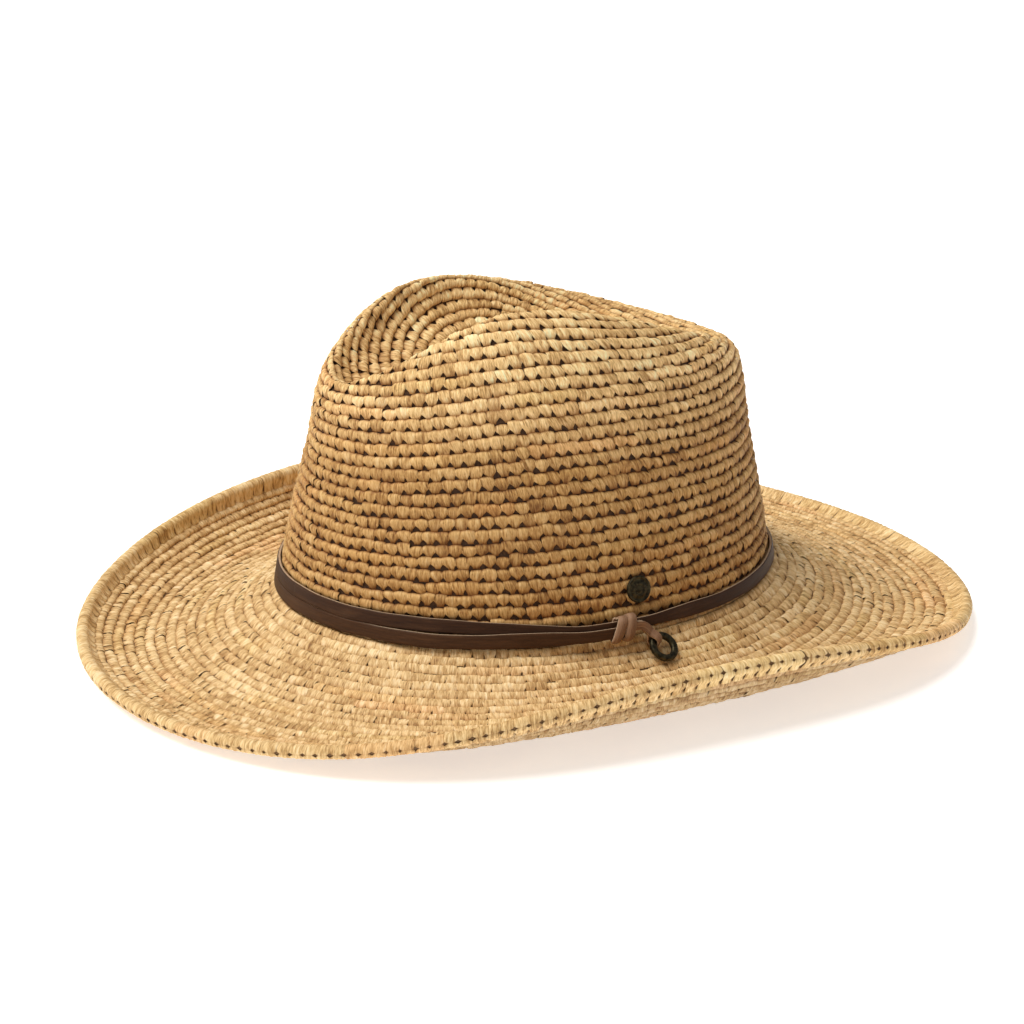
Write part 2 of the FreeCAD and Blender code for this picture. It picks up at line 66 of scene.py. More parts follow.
CROWN_ROWS, CROWN_PITCH, CROWN_ROW = 38, 5.1, 5.2
BRIM_ROWS, BRIM_PITCH, BRIM_ROW = 19, 4.3, 4.1
EDGE_PITCH, BASE_STITCHES = 5.2, 110


def full_turn(count):
    """Angles that share out a full turn."""
    return np.linspace(0, TAU, count, endpoint=False)


def lattice(a, b):
    return np.meshgrid(a, b, indexing="ij")


def walked(points):
    """How far along a line of points each one lies."""
    return np.concatenate(([0.0], np.cumsum(np.linalg.norm(np.diff(points, axis=0), axis=1))))


def unit(v):
    return v / np.linalg.norm(v, axis=-1, keepdims=True)


def square_to(v, axis):
    """The unit direction of `v` at a right angle to `axis`."""
    return unit(v - axis * np.sum(v * axis, -1, keepdims=True))


def around(angle, stations):
    """A smooth value at an angle from the front, through five stations."""
    total = 0.0
    for wave in range(5):
        half = 0.5 if wave in (0, 4) else 1.0
        share = 0.25 * (stations[0] + stations[4] * math.cos(math.pi * wave))
        for j in (1, 2, 3):
            share += 0.5 * stations[j] * math.cos(math.pi * wave * j / 4)
        total = total + half * share * np.cos(wave * angle)
    return total


def blend_weights(count, t):
    """Clamped cubic B-spline weights of `count` control rings."""
    knots = [0.0] * 3 + [i / (count - 3) for i in range(count - 2)] + [1.0] * 3
    t = np.clip(t, 0.0, 1.0 - 1e-9)
    weights = [((knots[i] <= t) & (t < knots[i + 1])) * 1.0 for i in range(count + 3)]
    for degree in (1, 2, 3):
        raised = []
        for i in range(count + 3 - degree):
            value = np.zeros_like(t)
            low, high = knots[i + degree] - knots[i], knots[i + degree + 1] - knots[i + 1]
            if low > 0:
                value = value + (t - knots[i]) / low * weights[i]
            if high > 0:
                value = value + (knots[i + degree + 1] - t) / high * weights[i + 1]
            raised.append(value)
        weights = raised
    return weights


def crown_points(a, t):
    """Points on the crown's outer face."""
    height = around(a, RIDGE_HEIGHT) + LEFT_RIDGE_RISE * np.sin(a)
    scale, pinch = around(a, RIDGE_SCALE), around(a, WALL_PINCH)
    dent, dent_height = around(a, DENT_SCALE), around(a, DENT_HEIGHT)
    one = np.ones_like(a)
    rings = (
        (one, 0.0, 0.0),
        (1 - 0.22 * (1 - scale), 0.2 * TOP_FORWARD, 0.33 * height),
        (1 - 0.45 * (1 - scale) - pinch, 0.5 * TOP_FORWARD, 0.68 * height),
        (scale + 0.07 - 0.4 * pinch, 0.9 * TOP_FORWARD, 0.97 * height),
        (scale - around(a, RIDGE_ROUNDING), TOP_FORWARD, height + 7),
        (dent + 0.10, TOP_FORWARD, 0.45 * height + 0.55 * dent_height),
        (dent - 0.08, TOP_FORWARD, dent_height - 4),
        (0.12, TIP_FORWARD, TIP_HEIGHT),
        (TIP_HOLE, TIP_FORWARD, TIP_HEIGHT),
    )
    size = forward = up = 0.0
    for weight, ring in zip(blend_weights(len(rings), t), rings):
        size = size + weight * ring[0]
        forward = forward + weight * ring[1]
        up = up + weight * ring[2]
    across, ahead = size * HALF_WIDTH * np.sin(a), -size * HALF_LENGTH * np.cos(a) - forward
    return np.stack((across, ahead, up), -1)


def crown_normals(a, t):
    step = 1e-3
    up = crown_points(a, np.minimum(t + step, 1)) - crown_points(a, np.maximum(t - step, 0))
    return unit(np.cross(crown_points(a + step, t) - crown_points(a - step, t), up))


def base_normals(a):
    return unit(np.stack((np.sin(a) / HALF_WIDTH, -np.cos(a) / HALF_LENGTH, np.zeros_like(a)), -1))


def crown_t_at(a, height):
    """The t at which the wall reaches a height."""
    low, high = np.zeros_like(a), np.full_like(a, 0.5)
    for _ in range(36):
        middle = (low + high) / 2
        below = crown_points(a, middle)[..., 2] < height
        low, high = np.where(below, middle, low), np.where(below, high, middle)
    return low


def wall_at(a, height, outward):
    """Points beside the crown's wall at a height."""
    height = np.broadcast_to(height, a.shape)
    outward = np.broadcast_to(outward, a.shape)[..., None]
    t = crown_t_at(a, np.maximum(height, 0.0))
    normal = crown_normals(a, t)
    flat = unit(normal * (1, 1, 0))
    above = crown_points(a, t) + flat * (outward / np.sqrt(1 - normal[..., 2:] ** 2))
    below = crown_points(a, t) + base_normals(a) * outward + height[..., None] * np.array((0, 0, 1))
    return np.where(height[..., None] > 0, above, below)


class Patch:
    def __init__(self, points, normals):
        self.points, self.normals = points, normals
        self.count, self.shares = points.shape[0], points.shape[1]

    def sample(self, angle, share):
        x = (angle / TAU * self.count) % self.count
        y = np.clip(share, 0, 1) * (self.shares - 1)
        i, j = x.astype(int) % self.count, np.minimum(y.astype(int), self.shares - 2)
        fx, fy = (x - np.floor(x))[..., None], (y - j)[..., None]
        k = (i + 1) % self.count
        out = []
        for grid in (self.points, self.normals):
            low = grid[i, j] * (1 - fx) + grid[k, j] * fx
            high = grid[i, j + 1] * (1 - fx) + grid[k, j + 1] * fx
            out.append(low * (1 - fy) + high * fy)
        return out[0], unit(out[1])

    def ring(self, share):
        """How far round the ring at a share each angle lies, the angles, and its length."""
        angles = np.linspace(0, TAU, 721)
        p, _ = self.sample(angles, np.full_like(angles, share))
        length = walked(p)
        return length / length[-1], angles, length[-1]


def crown_patch():
    """The crown from base to tip, its share measured along the cloth."""
    columns, kept = 720, 500
    a, t = lattice(full_turn(columns), np.linspace(0, 1, 700))
    p, n = crown_points(a, t), crown_normals(a, t)
    even = np.linspace(0, 1, kept)
    points, normals = np.empty((2, columns, kept, 3))
    for i in range(columns):
        walk = walked(p[i])
        for k in range(3):
            points[i, :, k] = np.interp(even, walk / walk[-1], p[i, :, k])
            normals[i, :, k] = np.interp(even, walk / walk[-1], n[i, :, k])
    return Patch(points, unit(normals))


def brim_frames(a, distance):
    """The brim's middle points, upward normals and ways out at distances along its cloth."""
    width = around(a, BRIM_WIDTH)
    edge = around(a, BRIM_EDGE) + BRIM_TWIST * np.sin(2 * a)

    def slope(share):
        return np.radians(around(a, BRIM_INNER) * (1 - share) * (1 - 2 * share)
                          + around(a, BRIM_MIDDLE) * 4 * share * (1 - share)
                          + edge * share * (2 * share - 1))

    run, rise = np.zeros_like(a), np.full_like(a, BRIM_START)
    steps = 40
    step = distance / steps
    for i in range(steps):
        q = slope((i + 0.5) * step / width)
        run = run + step * np.cos(q)
        rise = rise + step * np.sin(q)
    q = slope(distance / width)[..., None]
    out, up = base_normals(a), np.array((0.0, 0.0, 1.0))
    point = crown_points(a, np.zeros_like(a)) + out * run[..., None] + up * rise[..., None]
    return point, up * np.cos(q) - out * np.sin(q), out * np.cos(q) + up * np.sin(q)


def brim_patch(short):
    """The brim's middle surface from the crown out to `short` of its width."""
    a, share = lattice(full_turn(720), np.linspace(0, 1, 160))
    point, normal, _ = brim_frames(a, (around(a, BRIM_WIDTH) - short) * share)
    return Patch(point, normal)


def edge_frames(a):
    """The brim's frames at the middle of its rolled edge."""
    return brim_frames(a, around(a, BRIM_WIDTH) - BINDING_RADIUS)


# ---- meshes ----
def build(name, points, faces, attributes=None, materials=(), indices=None):
    """A mesh object from numpy arrays, points in millimetres about the crown."""
    mesh = bpy.data.meshes.new(name)
    points = (np.asarray(points, dtype=float).reshape(-1, 3) + ORIGIN) * 0.001
    faces = np.asarray(faces, dtype=np.int32)
    mesh.vertices.add(len(points))
    mesh.vertices.foreach_set("co", points.astype(np.float32).ravel())
    mesh.loops.add(faces.size)
    mesh.loops.foreach_set("vertex_index", faces.ravel())
    mesh.polygons.add(len(faces))
    starts = np.arange(0, faces.size, faces.shape[1], dtype=np.int32)
    mesh.polygons.foreach_set("loop_start", starts)
    mesh.update(calc_edges=True)
    for key, values in (attributes or {}).items():
        kind, field = ("FLOAT_VECTOR", "vector") if np.ndim(values) == 2 else ("FLOAT", "value")
        layer = mesh.attributes.new(key, kind, "POINT")
        layer.data.foreach_set(field, np.asarray(values, dtype=np.float32).ravel())
    for m in materials:
        mesh.materials.append(m)
    if indices is not None:
        mesh.polygons.foreach_set("material_index", np.asarray(indices, dtype=np.int32))
    mesh.polygons.foreach_set("use_smooth", np.full(len(faces), True))
    mesh.validate()
    o = bpy.data.objects.new(name, mesh)
    bpy.context.collection.objects.link(o)
    return o


def grid_faces(rows, columns, closed_rows=False, closed_columns=False):
    """Quads of a grid whose points run along columns first."""
    i = np.arange(rows if closed_rows else rows - 1)
    j = np.arange(columns if closed_columns else columns - 1)
    i, j = lattice(i, j)
    k, m = (i + 1) % rows, (j + 1) % columns
    corners = (i * columns + j, i * columns + m, k * columns + m, k * columns + j)
    return np.stack(corners, -1).reshape(-1, 4)


def repeated(quads, count, size, start=0):
    """The same faces for each of `count` stitches of `size` points."""
    return (start + np.arange(count)[:, None, None] * size + quads).reshape(-1, 4)


def fix_normals(o):
    """Turns a closed piece's faces outward."""
    bm = bmesh.new()
    bm.from_mesh(o.data)
    bmesh.ops.recalc_face_normals(bm, faces=bm.faces)
    bm.to_mesh(o.data)
    bm.free()
    return o


def finish_piece(o, body, slot, *nodes):
    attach(o, body)
    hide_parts(*nodes)
    return o


# ---- materials ----
def material(name):
    m = bpy.data.materials.new(name)
    m.use_nodes = True
    tree = m.node_tree
    tree.nodes.clear()
    out = tree.nodes.new("ShaderNodeOutputMaterial")
    shader = tree.nodes.new("ShaderNodeBsdfPrincipled")
    tree.links.new(shader.outputs[0], out.inputs[0])
    return m, tree, shader


class Nodes:
    """Short ways to add shader nodes to a material."""

    def __init__(self, tree):
        self.tree = tree

    def link(self, a, b):
        self.tree.links.new(a, b)

    def set(self, socket, value):
        if isinstance(value, bpy.types.NodeSocket):
            self.link(value, socket)
        else:
            socket.default_value = value

    def attribute(self, name, output="Fac"):
        n = self.tree.nodes.new("ShaderNodeAttribute")
        n.attribute_name = name
        return n.outputs[output]

    def position(self, scale=(1, 1, 1)):
        n = self.tree.nodes.new("ShaderNodeTexCoord")
        return self.stretch(n.outputs["Object"], scale)

    def stretch(self, vector, scale):
        n = self.tree.nodes.new("ShaderNodeMapping")
        self.link(vector, n.inputs["Vector"])
        n.inputs["Scale"].default_value = scale
        return n.outputs[0]

    def noise(self, vector, scale, detail=3.0, rough=0.5):
        n = self.tree.nodes.new("ShaderNodeTexNoise")
        self.link(vector, n.inputs["Vector"])
        n.inputs["Scale"].default_value = scale
        n.inputs["Detail"].default_value = detail
        n.inputs["Roughness"].default_value = rough
        return n.outputs["Fac"]

    def ramp(self, fac, *stops):
        n = self.tree.nodes.new("ShaderNodeValToRGB")
        self.link(fac, n.inputs[0])
        elements = n.color_ramp.elements
        while len(elements) < len(stops):
            elements.new(0.5)
        for e, (where, colour) in zip(elements, stops):
            e.position = where
            e.color = (*colour, 1)
        return n.outputs[0]

    def span(self, value, low, high, to_low=0.0, to_high=1.0):
        n = self.tree.nodes.new("ShaderNodeMapRange")
        self.link(value, n.inputs["Value"])
        keys = ("From Min", "From Max", "To Min", "To Max")
        for key, v in zip(keys, (low, high, to_low, to_high)):
            n.inputs[key].default_value = v
        return n.outputs[0]

    def mix(self, fac, a, b, blend="MIX"):
        n = self.tree.nodes.new("ShaderNodeMix")
        n.data_type, n.blend_type, n.clamp_result = "RGBA", blend, True
        self.set(n.inputs[0], fac)
        for socket, value in ((n.inputs[6], a), (n.inputs[7], b)):
            self.set(socket, (*value, 1) if isinstance(value, tuple) else value)
        return n.outputs[2]

    def math(self, how, a, b):
        n = self.tree.nodes.new("ShaderNodeMath")
        n.operation = how
        self.set(n.inputs[0], a)
        self.set(n.inputs[1], b)
        return n.outputs[0]

    def weighted(self, a, share_a, b, share_b):
        a, b = self.math("MULTIPLY", a, share_a), self.math("MULTIPLY", b, share_b)
        return self.math("ADD", a, b)

    def bump(self, height, strength, distance, normal=None):
        n = self.tree.nodes.new("ShaderNodeBump")
        self.link(height, n.inputs["Height"])
        n.inputs["Strength"].default_value = strength
        n.inputs["Distance"].default_value = distance
        if normal is not None:
            self.link(normal, n.inputs["Normal"])
        return n.outputs[0]


FIBRE_TONES = ((0.0, (0.25, 0.118, 0.034)), (0.35, (0.50, 0.295, 0.108)),
               (0.7, (0.74, 0.50, 0.225)), (1.0, (0.85, 0.645, 0.36)))
STAINS = ((0.0, (1.04, 0.95, 0.91)), (0.10, (1, 1, 1)), (0.84, (1, 1, 1)),
          (0.92, (0.99, 1.0, 0.94)), (1.0, (1.02, 0.96, 0.89)))
# between these heights, in metres, the low parts' painted light and shade turns into the top's
# painted highlight
HIGHLIGHT_FROM, HIGHLIGHT_ABOVE = 0.085, 0.12


def raffia_material(name, light, tint, top_highlight=(1.0, 1.0, 1.0), depth=(0.40, 0.235, 0.12)):
    """Dry palm fibre: fine fibres down each stitch, strands of differing tone, with painted shade
    in the gaps by `depth`. `tint` is painted light and shade on the hat's low parts, and the colour
    after it a painted highlight on its top."""
    m, tree, shader = material(name)
    n = Nodes(tree)
    cell, tone = n.attribute("cell", "Vector"), n.attribute("tone")
    fine = n.noise(n.stretch(cell, (1.9, 0.30, 1)), 1.0, 3.0, 0.65)
    coarse = n.noise(n.stretch(cell, (0.85, 0.18, 1)), 1.0, 2.0, 0.5)
    fibres = n.weighted(fine, 0.6, coarse, 0.4)
    value = n.math("ADD", n.math("MULTIPLY", tone, 0.62), n.span(fibres, 0.32, 0.68, -0.26, 0.66))
    base = n.ramp(value, *((at, tuple(light * c for c in colour)) for at, colour in FIBRE_TONES))
    base = n.mix(1.0, base, n.ramp(n.attribute("hue"), *STAINS), "MULTIPLY")
    # painted light and shade by height: the low parts take `tint`, the top a painted highlight
    height = tree.nodes.new("ShaderNodeSeparateXYZ")
    n.link(n.position(), height.inputs[0])
    shading = tree.nodes.new("ShaderNodeVectorMath")
    shading.operation = "MULTIPLY"
    n.link(base, shading.inputs[0])
    change = tree.nodes.new("ShaderNodeMix")
    change.data_type = "VECTOR"
    n.link(n.span(height.outputs[2], HIGHLIGHT_FROM, HIGHLIGHT_ABOVE), change.inputs[0])
    change.inputs[4].default_value, change.inputs[5].default_value = tint, top_highlight
    n.link(change.outputs[1], shading.inputs[1])
    base = shading.outputs[0]
    slits = n.span(fine, 0.30, 0.40, 0.55, 1.0)
    base = n.mix(slits, n.mix(1.0, base, (0.45, 0.28, 0.15), "MULTIPLY"), base)
    # painted shade: the lower a point stands in the gaps, the darker it is painted, by `depth`
    deep = n.span(n.attribute("rise"), 0.05, 0.78)
    base = n.mix(deep, n.mix(1.0, base, depth, "MULTIPLY"), base)
    n.link(base, shader.inputs["Base Color"])
    n.set(shader.inputs["Roughness"], n.span(fine, 0.3, 0.7, 0.5, 0.75))
    shader.inputs["Specular IOR Level"].default_value = 0.25
    n.link(n.bump(fibres, 1.0, 0.0006), shader.inputs["Normal"])
    return m


def plain_material(name, dark, light, scale, roughness, bump=0.2, distance=0.0002, metal=0.0):
    """A mottled finish between two colours."""
    m, tree, shader = material(name)
    n = Nodes(tree)
    where = n.position()
    noise = n.noise(where, scale, 4.0, 0.6)
    n.link(n.ramp(noise, (0.32, dark), (0.68, light)), shader.inputs["Base Color"])
    broad = n.noise(where, scale * 0.37, 2.0)
    rough = n.span(broad, 0.3, 0.7, roughness - 0.08, roughness + 0.1)
    n.link(rough, shader.inputs["Roughness"])
    shader.inputs["Metallic"].default_value = metal
    n.link(n.bump(noise, bump, distance), shader.inputs["Normal"])
    return m


def leather_material(name, dark, light, worn):
    """Lace leather: fine grain, long creases along the lace, rubbed lighter in places."""
    m, tree, shader = material(name)
    n = Nodes(tree)
    lace = n.attribute("lace", "Vector")
    grain = n.noise(n.stretch(lace, (2.2, 2.8, 2.8)), 1.0, 4.0, 0.65)
    creases = n.noise(n.stretch(lace, (0.10, 1.6, 1.6)), 1.0, 3.0, 0.6)
    rub = n.noise(n.stretch(lace, (0.05, 0.35, 0.35)), 1.0, 3.0, 0.55)
    value = n.weighted(grain, 0.35, creases, 0.65)
    base = n.ramp(value, (0.3, dark), (0.72, light))
    base = n.mix(n.span(rub, 0.52, 0.75, 0.0, 0.5), base, worn)
    n.link(base, shader.inputs["Base Color"])
    n.set(shader.inputs["Roughness"], n.span(value, 0.3, 0.7, 0.42, 0.62))
    shader.inputs["Specular IOR Level"].default_value = 0.18
    first = n.bump(creases, 0.5, 0.0002)
    n.link(n.bump(grain, 0.35, 0.00012, first), shader.inputs["Normal"])
    return m


# lit and shaded copies of one raffia: painted shade low on the crown with a painted highlight on
# its top, painted light on the brim and edge, paler painted bounce light under the brim and on the
# joining round
RAFFIA = raffia_material("raffia", 1.0, (0.91, 0.81, 0.68), (1.40, 1.45, 1.54))
RAFFIA_BRIM = raffia_material("raffia_brim", 1.12, (1.04, 1.07, 1.16), depth=(0.56, 0.40, 0.26))
RAFFIA_UNDER = raffia_material("raffia_under", 1.0, (0.86, 0.88, 0.98))
RAFFIA_EDGE = raffia_material("raffia_edge", 1.10, (1.03, 1.05, 1.10))
# painted shade: dark finishes for what shows through the holes between stitches, on the crown, in
# the brim and inside its folded edge
GAP_SHADE = plain_material("raffia_gap_shade", (0.035, 0.015, 0.005), (0.10, 0.045, 0.018), 900, 0.9)
SHADE_BRIM = plain_material("raffia_shade_brim", (0.10, 0.048, 0.018), (0.24, 0.13, 0.055), 900, 0.9)
LEATHER = leather_material("lace_leather", (0.027, 0.010, 0.004), (0.062, 0.025, 0.010),
                           (0.100, 0.046, 0.020))
LEATHER_RED = leather_material("lace_leather_red", (0.036, 0.014, 0.005), (0.086, 0.036, 0.013),
                               (0.115, 0.052, 0.022))
LEATHER_KNOT = leather_material("lace_leather_knot", (0.13, 0.062, 0.030), (0.36, 0.205, 0.115),
                                (0.42, 0.26, 0.16))
CUT_EDGE = plain_material("lace_cut_edge", (0.26, 0.16, 0.09), (0.62, 0.45, 0.29), 1800, 0.8,
                          bump=0.5)
BRONZE = plain_material("bronze", (0.014, 0.012, 0.008), (0.085, 0.070, 0.036), 650, 0.45,
                        bump=0.4, distance=0.00015, metal=0.9)
WIRE = plain_material("spring_wire", (0.35, 0.35, 0.36), (0.55, 0.55, 0.56), 1500, 0.35, metal=1.0)
THREAD = plain_material("thread", (0.50, 0.42, 0.28), (0.72, 0.62, 0.45), 3000, 0.85, bump=0.5)


# ---- crochet ----
# a stitch's points across it and from its foot (0) to its head (1), and how far it stands out
# and how wide its foot is at each height; the coarse ones are for the brim's underside
STITCH_U = np.array((-1.0, -0.9, -0.74, -0.56, -0.37, -0.18, 0.0, 0.18, 0.37, 0.56, 0.74, 0.9, 1.0))
STITCH_V = np.array((0.0, 0.13, 0.28, 0.46, 0.64, 0.82, 0.96, 1.07))
STITCH_V_RISE = np.array((0.0, 0.34, 0.64, 0.88, 1.0, 0.98, 0.74, 0.10))
STITCH_V_WIDTH = np.array((0.295, 0.30, 0.375, 0.485, 0.50, 0.50, 0.50, 0.48))
COARSE_U = np.array((-1.0, -0.82, -0.3, 0.3, 0.82, 1.0))
COARSE_V = np.array((0.0, 0.2, 0.45, 0.7, 0.9, 1.07))
GROOVE = ((0.0, 0.3, 0.5, 0.8, 1.0), (0.7, 0.55, 0.24, 0.18, 0.36))
FOLDS = (-0.62, -0.2, 0.22, 0.64)
ROUND_LEAN = 0.05
CELL_SPREAD = 300  # no two stitches share their fibres
CROWN_STYLE = dict(all_rows=CROWN_ROWS, pitch=CROWN_PITCH, tallness=CROWN_ROW, lift=-1.15,
                   rise=1.45, openness=(1.6, 0.7), relief=(1.0, 0.78))
BRIM_STYLE = dict(all_rows=BRIM_ROWS, pitch=BRIM_PITCH, tallness=BRIM_ROW, lift=-0.10, rise=1.25,
                  outward=True, overlap=0.075, openness=(0.55, 0.6), relief=(0.6, 0.8))


def strand_tones(count, mean):
    """A tone and a hue for each stitch: one strand lasts many stitches."""
    tone, hue = np.empty(count), np.empty(count)
    i = 0
    while i < count:
        run = int(rng.integers(3, 11))
        tone[i:i + run] = mean + rng.normal(0, 0.09)
        hue[i:i + run] = rng.random()
        i += run
    return tone + rng.normal(0, 0.11, count), hue


def stitch_data(cell, tone, hue, rise):
    """What the raffia material reads: a place in millimetres on the stitch, with a number of
    its own, the strand's tone and hue, and how far each point stands out of the gaps, which the
    material turns into painted shade where it is low."""
    x, y, own, tone, hue = (np.broadcast_to(v, rise.shape) for v in (*cell, tone, hue))
    return {"cell": np.stack((x, y, own), -1).reshape(-1, 3), "tone": tone.ravel(),
            "hue": hue.ravel(), "rise": rise.ravel()}


def crochet(name, patch, rows, finish, all_rows, pitch, tallness, lift, rise, openness, relief,
            side=1, outward=False, coarse=False, overlap=0.04, mean=0.5):
    """Rows of stitches on a patch: each is a bulging bundle of fibres, narrow at its foot,
    so that gaps stand between the feet, where a dark sheet behind shows as painted shade. `lift` is
    the foot's offset from the patch.
    Openness and relief run from the first row to the last."""
    us, vs = (COARSE_U, COARSE_V) if coarse else (STITCH_U, STITCH_V)
    rises = np.interp(vs, STITCH_V, STITCH_V_RISE)
    feet = 0.5 - np.interp(vs, STITCH_V, STITCH_V_WIDTH)
    nu, nv = len(us), len(vs)
    quads = grid_faces(nv, nu)
    if (side > 0) == outward:
        quads = quads[:, ::-1]
    points, faces, data, start = [], [], [], 0
    shift = rng.random()
    before = None
    for row in rows:
        fractions, angles, length = patch.ring((row + 0.6) / all_rows)
        open_here, relief_here = (np.interp(row, (0, all_rows - 1), pair)
                                  for pair in (openness, relief))
        count = max(6, int(round(length / pitch)))
        if before is not None and abs(count - before) <= 1:
            count = before
        before = count
        shift += ROUND_LEAN + rng.normal(0, 0.02)
        wobble = np.cumsum(rng.normal(0, 0.16, count))
        wobble = (wobble - np.linspace(0, wobble[-1], count)) * 0.15
        middle = np.arange(count) + 0.5 + shift + wobble
        tone, hue = strand_tones(count, mean)
        each, shape = (count, 1, 1), (count, nv, nu)
        u = np.broadcast_to(us, shape)
        v = np.broadcast_to(vs[:, None], shape)
        gaps = open_here * rng.uniform(0.5, 1.4, each)
        half = (0.5 + overlap - feet[:, None] * gaps) * (1 + rng.normal(0, 0.04, each)) + 0 * u
        slant = rng.normal(-0.04, 0.09, each)
        tall = 1 + rng.normal(0, 0.045, each)
        step = np.clip(rng.normal(0, 0.045, each), -0.1, 0.1)
        place = middle[:, None, None] + u * half + slant * (v - 0.5)
        arch = rng.uniform(0.04, 0.13, each) * u ** 2 * np.clip((v - 0.5) * 2, 0, 1) * relief_here
        reach = v * tall - arch + step
        share = (row + 1 - reach if outward else row + reach) / all_rows
        drift = np.interp(((place / count) % 1.0).ravel(), fractions, angles).reshape(shape)
        p, n = patch.sample(drift, share)
        groove = np.interp(v, *GROOVE) * (0.5 + 0.5 * relief_here)
        body = 1 - groove * rng.uniform(0.4, 1.5, each) * np.abs(u) ** 4
        folds = np.zeros(shape)
        for fold in FOLDS:
            where = fold + rng.normal(0, 0.10, each) + rng.normal(0, 0.22, each) * (v - 0.5)
            folds += rng.uniform(0.0, 0.30, each) * np.exp(-((u - where) / 0.12) ** 2)
        profile = 1 - (1 - rises) * relief_here
        bulk = profile[:, None] * body
        height = bulk * (1 + rng.normal(0, 0.11, each) - folds)
        tilt = 0.10 * rng.normal(0, 1, each) * u
        height = height + (tilt + np.clip(rng.normal(0, 0.045, shape), -0.1, 0.1)) * bulk
        points.append((p + n * (side * (lift + rise * height))[..., None]).reshape(-1, 3))
        faces.append(repeated(quads, count, nu * nv, start))
        start += count * nu * nv
        cell = (u * half * length / count, v * tallness, rng.random(each) * CELL_SPREAD)
        # the stitch's height also paints shade where it sinks into the gaps
        data.append(stitch_data(cell, tone[:, None, None], hue[:, None, None], height))
    data = {key: np.concatenate([row_data[key] for row_data in data]) for key in data[0]}
    return build(name, np.concatenate(points), np.concatenate(faces), data, (finish,))


def ring_sheet(name, patch, columns, across, offset, finish):
    """A plain sheet at an offset from a patch."""
    p, n = patch.sample(*lattice(full_turn(columns), np.linspace(0, 1, across)))
    faces = grid_faces(columns, across, closed_rows=True)
    return build(name, p + n * offset, faces, None, (finish,))


def crown_lining():
    """The inner side of the crown's crochet: soft ropes with a dip at every stitch."""
    depth, swelling, steps = 1.7, 0.55, 4
    columns = int(round(crown.ring(0.0)[2] / CROWN_PITCH)) * steps
    across = CROWN_ROWS * steps + 1
    a, s = lattice(full_turn(columns), np.linspace(0, 1, across))
    p, n = crown.sample(a, s)
    row = s * CROWN_ROWS
    stitch = np.arange(columns)[:, None] / steps + np.floor(row) * 0.5
    dips = 0.55 + 0.45 * np.sin(np.pi * (stitch % 1.0)) ** 2
    bulge = np.sin(np.pi * (row % 1.0)) ** 0.7 * dips
    p = p - n * (depth + swelling * bulge)[..., None]
    tones = 0.45 + 0.12 * rng.normal(size=(columns // steps + 1, CROWN_ROWS + 1))
    tone = tones[np.arange(columns)[:, None] // steps, np.minimum(row.astype(int), CROWN_ROWS)]
    # the rise paints shade into the dips between rows and stitches
    data = stitch_data((stitch * CROWN_PITCH, row * CROWN_ROW, np.floor(row)), tone, 0.5, bulge)
    faces = grid_faces(columns, across, closed_rows=True)[:, ::-1]
    return build("crown_inside", p, faces, data, (RAFFIA,))


def joining_round():
    """The round where crown turns into brim: a rope of stitches round the base."""
    steps, sides = 6, 12
    columns = BASE_STITCHES * steps
    a = np.interp(np.arange(columns) / columns, *crown.ring(0.0)[:2])
    a, q = lattice(a, full_turn(sides))
    stitch = np.broadcast_to(np.arange(columns)[:, None] / steps, a.shape)
    plump = 0.82 + 0.18 * np.sin(np.pi * (stitch % 1.0)) ** 0.6
    out = -1.15 + 1.35 * plump * np.cos(q)
    p = crown_points(a, np.zeros_like(a)) + base_normals(a) * out[..., None]
    p = p + np.array((0, 0, 1)) * (-0.9 + 1.6 * plump * np.sin(q))[..., None]
    tone, hue = strand_tones(BASE_STITCHES, 0.5)
    which = np.floor(stitch).astype(int)
    cell = ((stitch % 1.0) * EDGE_PITCH, q * 1.5, which * 7.3)
    # the rise paints shade where the stitches of the round thin out
    data = stitch_data(cell, tone[which], hue[which], plump - 0.25)
    faces = grid_faces(columns, sides, True, True)
    return fix_normals(build("crown_joining_round", p, faces, data, (RAFFIA_UNDER,)))


def closing_stitches():
    """The first stitches, drawn together over the hole at the crown's tip."""
    columns = 96
    reach = np.array((0.02, 0.12, 0.25, 0.4, 0.55, 0.7, 0.84, 0.94, 1.0, 0.97))
    height = np.array((0.35, 0.55, 0.85, 1.05, 1.1, 1.0, 0.75, 0.4, -0.1, -0.7))
    a, r = lattice(full_turn(columns), reach)
    leaf = np.abs(np.sin(3 * a + 1.4 * r)) ** 0.5
    up = height[None, :] * (0.62 + 0.38 * leaf)
    middle = crown_points(np.zeros(1), np.ones(1))[0] * (0, 1, 1)
    middle = (middle + crown_points(np.full(1, math.pi), np.ones(1))[0] * (0, 1, 1)) / 2
    p = middle + np.stack((4.4 * r * np.sin(a), -5.0 * r * np.cos(a), up), -1)
    which = np.floor((3 * a + 1.4 * r) / math.pi).astype(int)
    # the rise paints shade into the crevices between the leaves
    data = stitch_data((a * 3.0, r * 4.0, which * 5.3), 0.45 + 0.1 * np.sin(which * 2.1), 0.5,
                       0.35 + 0.6 * leaf)
    faces = grid_faces(columns, len(reach), True)
    return fix_normals(build("crown_closing_stitches", p, faces, data, (RAFFIA,)))


crown = crown_patch()
pieces = []
for part, first, last in (("lower", 0, 10), ("middle", 10, 21), ("upper", 21, CROWN_ROWS)):
    pieces.append(crochet("crown_rows_" + part, crown, range(first, last), RAFFIA, **CROWN_STYLE))
# a dark sheet behind the crown's stitches, painted shade in the holes between them
pieces.append(ring_sheet("crown_gap_shade", crown, columns=240, across=120, offset=-1.35, finish=GAP_SHADE))
pieces += [joining_round(), closing_stitches(), crown_lining()]
for piece in pieces:
    finish_piece(piece, "hat", "raffia", "crown_shell")

